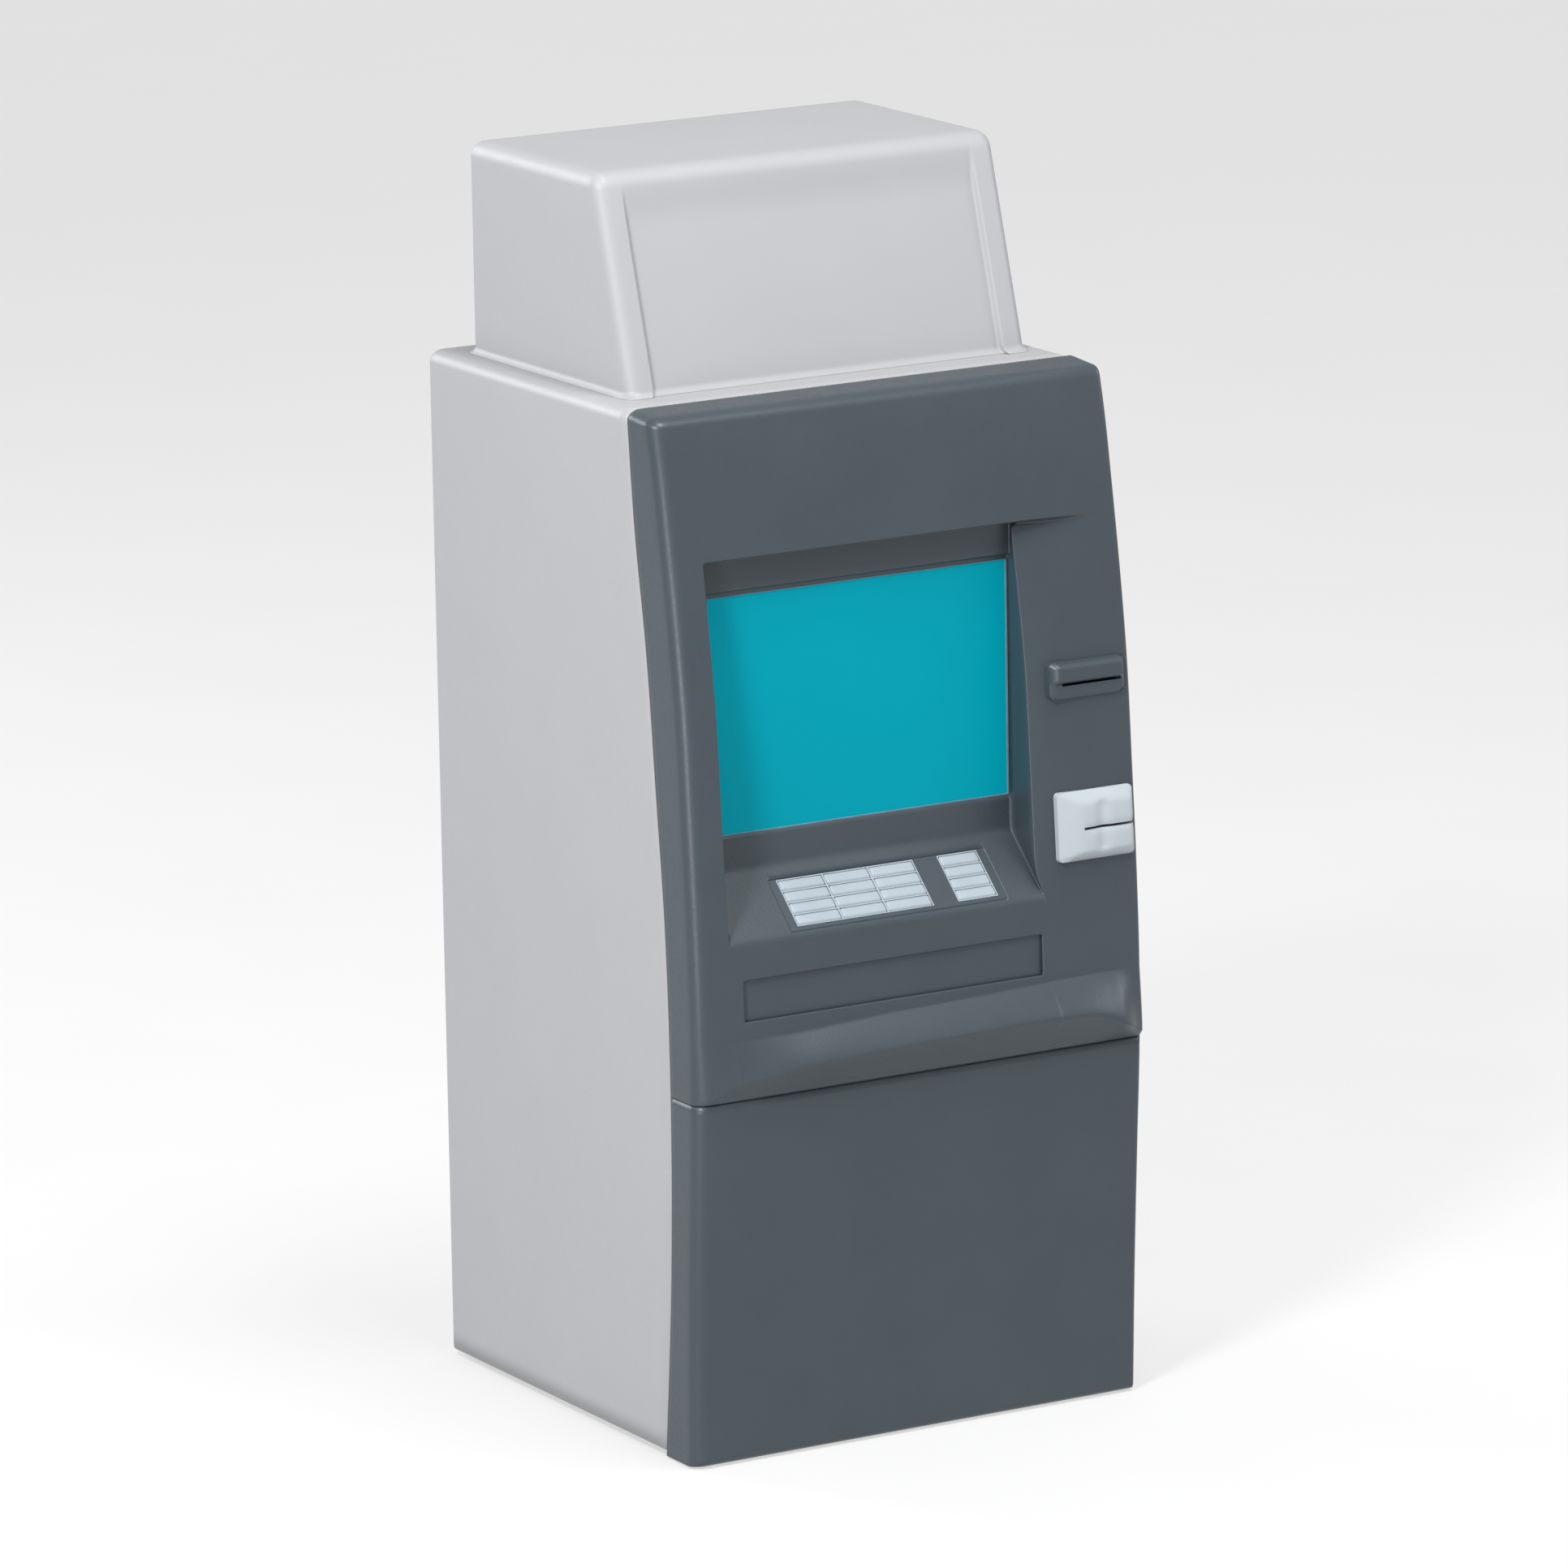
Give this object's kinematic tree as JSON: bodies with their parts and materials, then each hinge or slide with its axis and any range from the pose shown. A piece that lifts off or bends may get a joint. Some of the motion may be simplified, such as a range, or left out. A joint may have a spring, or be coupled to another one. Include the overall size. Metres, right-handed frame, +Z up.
{
  "type": "automated teller machine",
  "caption": "Free-standing rear-service cash machine: curved dark fascia with recessed screen and keypad, hand ledge, card and receipt slots, grey cabinet and topper over a safe.",
  "frame": {"origin": "centre of the cabinet's nominal footprint (610 by 602 mm), on the floor", "axes": "+Z up, -Y towards the user at the front, +X to the user's right"},
  "size_m": [0.6187, 0.6562, 1.5],
  "materials": {
    "casing_grey": "satin powder coat, light grey",
    "fascia_grey": "satin moulded, dark blue-grey, fine orange-peel texture",
    "sign_panel": "satin, plain, backlit",
    "light_bar": "white diffuser",
    "screen_teal": "satin glass over a teal picture",
    "key_plastic": "satin moulded, pale grey",
    "white_plastic": "satin moulded, pale grey-white",
    "black_plastic": "fine-grained black",
    "chassis_black": "textured black powder coat",
    "safe_paint": "hammered dark grey",
    "galvanised_steel": "zinc plated, satin",
    "brushed_steel": "brushed",
    "roller_rubber": "matt",
    "paper": "matt thermal paper"
  },
  "bodies": {
    "cabinet": {"base_plinth": "chassis_black", "outer_casing": "casing_grey", "lower_front_panel": "fascia_grey", "power_inlet": "black_plastic", "topper_housing": "casing_grey", "topper_panel": "sign_panel", "topper_light_bar": "light_bar", "safe_body": "safe_paint", "dispenser_frame": "galvanised_steel", "reject_bin": "black_plastic", "equipment_shelf": "galvanised_steel", "module_bracket": "galvanised_steel", "computer_case": "chassis_black", "power_supply": "galvanised_steel", "card_reader": "black_plastic", "receipt_printer": "black_plastic", "note_presenter": "galvanised_steel", "hinge_frame_leaf": "brushed_steel"},
    "fascia": {"upper_fascia": "fascia_grey", "screen_glass": "screen_teal", "monitor": "black_plastic", "keypad_plate": "fascia_grey", "keypad_housing": "chassis_black", "card_slot_bezel": "white_plastic", "receipt_slot_bezel": "fascia_grey", "hinge_fascia_leaf": "brushed_steel", "latch_strike": "brushed_steel"},
    "cash_shutter": {"cash_shutter": "fascia_grey"},
    "rear_door": {"rear_door": "casing_grey"},
    "fan": {"fan_rotor": "black_plastic"},
    "rear_lock": {"rear_door_lock": "brushed_steel"},
    "safe_door": {"safe_door": "safe_paint"},
    "safe_handle": {"safe_handle": "brushed_steel"},
    "lock_dial": {"lock_dial": "black_plastic"},
    "safe_bolt": {"bolt_bar": "brushed_steel"},
    "paper_roll": {"paper_roll": "paper"},
    "roller_upper": {"presenter_roller_upper": "roller_rubber"},
    "roller_lower": {"presenter_roller_lower": "roller_rubber"},
    "latch_hook": {"latch_hook": "brushed_steel"},
    "key_pin_1": {"key_pin_1": "key_plastic"},
    "key_pin_2": {"key_pin_2": "key_plastic"},
    "key_pin_3": {"key_pin_3": "key_plastic"},
    "key_pin_4": {"key_pin_4": "key_plastic"},
    "key_pin_5": {"key_pin_5": "key_plastic"},
    "key_pin_6": {"key_pin_6": "key_plastic"},
    "key_pin_7": {"key_pin_7": "key_plastic"},
    "key_pin_8": {"key_pin_8": "key_plastic"},
    "key_pin_9": {"key_pin_9": "key_plastic"},
    "key_pin_10": {"key_pin_10": "key_plastic"},
    "key_pin_11": {"key_pin_11": "key_plastic"},
    "key_pin_12": {"key_pin_12": "key_plastic"},
    "key_side_1": {"key_side_1": "key_plastic"},
    "key_side_2": {"key_side_2": "key_plastic"},
    "key_side_3": {"key_side_3": "key_plastic"},
    "key_side_4": {"key_side_4": "key_plastic"},
    "cash_cassette_1": {"cash_cassette_1": "black_plastic"},
    "cash_cassette_2": {"cash_cassette_2": "black_plastic"},
    "cash_cassette_3": {"cash_cassette_3": "black_plastic"},
    "cash_cassette_4": {"cash_cassette_4": "black_plastic"}
  },
  "joints": [
    {"name": "cash_shutter_slide", "type": "slide", "parent": "fascia", "child": "cash_shutter", "axis": [0, 0, -1], "range_m": [0, 0.046]},
    {"name": "door_rear_swing", "type": "hinge", "parent": "cabinet", "child": "rear_door", "pos_m": [-0.282, 0.3, 0.866], "axis": [0, 0, 1], "range_deg": [0, 110]},
    {"name": "door_safe_swing", "type": "hinge", "parent": "cabinet", "child": "safe_door", "pos_m": [-0.266, 0.271, 0.275], "axis": [0, 0, 1], "range_deg": [0, 105]},
    {"name": "fascia_swing", "type": "hinge", "parent": "cabinet", "child": "fascia", "pos_m": [0.3096, -0.251, 0.62], "axis": [0, 0, 1], "range_deg": [0, 100]},
    {"name": "key_pin_1_press", "type": "slide", "parent": "fascia", "child": "key_pin_1", "axis": [0, 0.6712, -0.7413], "range_m": [0, 0.002], "stiffness_N_per_m": 400, "springref_m": -0.002},
    {"name": "key_pin_2_press", "type": "slide", "parent": "fascia", "child": "key_pin_2", "axis": [0, 0.6712, -0.7413], "range_m": [0, 0.002], "stiffness_N_per_m": 400, "springref_m": -0.002},
    {"name": "key_pin_3_press", "type": "slide", "parent": "fascia", "child": "key_pin_3", "axis": [0, 0.6712, -0.7413], "range_m": [0, 0.002], "stiffness_N_per_m": 400, "springref_m": -0.002},
    {"name": "key_pin_4_press", "type": "slide", "parent": "fascia", "child": "key_pin_4", "axis": [0, 0.6712, -0.7413], "range_m": [0, 0.002], "stiffness_N_per_m": 400, "springref_m": -0.002},
    {"name": "key_pin_5_press", "type": "slide", "parent": "fascia", "child": "key_pin_5", "axis": [0, 0.6712, -0.7413], "range_m": [0, 0.002], "stiffness_N_per_m": 400, "springref_m": -0.002},
    {"name": "key_pin_6_press", "type": "slide", "parent": "fascia", "child": "key_pin_6", "axis": [0, 0.6712, -0.7413], "range_m": [0, 0.002], "stiffness_N_per_m": 400, "springref_m": -0.002},
    {"name": "key_pin_7_press", "type": "slide", "parent": "fascia", "child": "key_pin_7", "axis": [0, 0.6712, -0.7413], "range_m": [0, 0.002], "stiffness_N_per_m": 400, "springref_m": -0.002},
    {"name": "key_pin_8_press", "type": "slide", "parent": "fascia", "child": "key_pin_8", "axis": [0, 0.6712, -0.7413], "range_m": [0, 0.002], "stiffness_N_per_m": 400, "springref_m": -0.002},
    {"name": "key_pin_9_press", "type": "slide", "parent": "fascia", "child": "key_pin_9", "axis": [0, 0.6712, -0.7413], "range_m": [0, 0.002], "stiffness_N_per_m": 400, "springref_m": -0.002},
    {"name": "key_pin_10_press", "type": "slide", "parent": "fascia", "child": "key_pin_10", "axis": [0, 0.6712, -0.7413], "range_m": [0, 0.002], "stiffness_N_per_m": 400, "springref_m": -0.002},
    {"name": "key_pin_11_press", "type": "slide", "parent": "fascia", "child": "key_pin_11", "axis": [0, 0.6712, -0.7413], "range_m": [0, 0.002], "stiffness_N_per_m": 400, "springref_m": -0.002},
    {"name": "key_pin_12_press", "type": "slide", "parent": "fascia", "child": "key_pin_12", "axis": [0, 0.6712, -0.7413], "range_m": [0, 0.002], "stiffness_N_per_m": 400, "springref_m": -0.002},
    {"name": "key_side_1_press", "type": "slide", "parent": "fascia", "child": "key_side_1", "axis": [0, 0.6712, -0.7413], "range_m": [0, 0.002], "stiffness_N_per_m": 400, "springref_m": -0.002},
    {"name": "key_side_2_press", "type": "slide", "parent": "fascia", "child": "key_side_2", "axis": [0, 0.6712, -0.7413], "range_m": [0, 0.002], "stiffness_N_per_m": 400, "springref_m": -0.002},
    {"name": "key_side_3_press", "type": "slide", "parent": "fascia", "child": "key_side_3", "axis": [0, 0.6712, -0.7413], "range_m": [0, 0.002], "stiffness_N_per_m": 400, "springref_m": -0.002},
    {"name": "key_side_4_press", "type": "slide", "parent": "fascia", "child": "key_side_4", "axis": [0, 0.6712, -0.7413], "range_m": [0, 0.002], "stiffness_N_per_m": 400, "springref_m": -0.002},
    {"name": "latch_hook_turn", "type": "hinge", "parent": "cabinet", "child": "latch_hook", "pos_m": [-0.262, -0.201, 0.604], "axis": [0, 0, 1], "range_deg": [-14, 0]},
    {"name": "lock_dial_spin", "type": "hinge", "parent": "safe_door", "child": "lock_dial", "pos_m": [0.06, 0.28, 0.34], "axis": [0, 1, 0], "continuous": true},
    {"name": "lock_rear_turn", "type": "hinge", "parent": "rear_door", "child": "rear_lock", "pos_m": [0.255, 0.291, 0.86], "axis": [0, -1, 0], "range_deg": [0, 90]},
    {"name": "paper_roll_spin", "type": "hinge", "parent": "cabinet", "child": "paper_roll", "pos_m": [0.237, -0.151, 0.95], "axis": [1, 0, 0], "continuous": true},
    {"name": "safe_bolt_slide", "type": "slide", "parent": "safe_door", "child": "safe_bolt", "axis": [1, 0, 0], "range_m": [0, 0.02]},
    {"name": "safe_handle_turn", "type": "hinge", "parent": "safe_door", "child": "safe_handle", "pos_m": [0.15, 0.284, 0.3], "axis": [0, -1, 0], "range_deg": [0, 90]},
    {"name": "transport_roller_lower_spin", "type": "hinge", "parent": "cabinet", "child": "roller_lower", "pos_m": [0, -0.275, 0.553], "axis": [1, 0, 0], "continuous": true},
    {"name": "transport_roller_upper_spin", "type": "hinge", "parent": "cabinet", "child": "roller_upper", "pos_m": [0, -0.275, 0.571], "axis": [1, 0, 0], "continuous": true},
    {"name": "undock_cassette_1", "type": "slide", "parent": "cabinet", "child": "cash_cassette_1", "axis": [0, 1, 0], "range_m": [0, 0.055]},
    {"name": "undock_cassette_2", "type": "slide", "parent": "cabinet", "child": "cash_cassette_2", "axis": [0, 1, 0], "range_m": [0, 0.055]},
    {"name": "undock_cassette_3", "type": "slide", "parent": "cabinet", "child": "cash_cassette_3", "axis": [0, 1, 0], "range_m": [0, 0.055]},
    {"name": "undock_cassette_4", "type": "slide", "parent": "cabinet", "child": "cash_cassette_4", "axis": [0, 1, 0], "range_m": [0, 0.055]},
    {"name": "ventilation_fan_spin", "type": "hinge", "parent": "rear_door", "child": "fan", "pos_m": [0.12, 0.288, 1.08], "axis": [0, 1, 0], "continuous": true}
  ],
  "couplings": [
    {"joint": "safe_bolt_slide", "follows": "safe_handle_turn", "m_per_rad": 0.0127},
    {"joint": "transport_roller_lower_spin", "follows": "transport_roller_upper_spin", "ratio": -1}
  ]
}
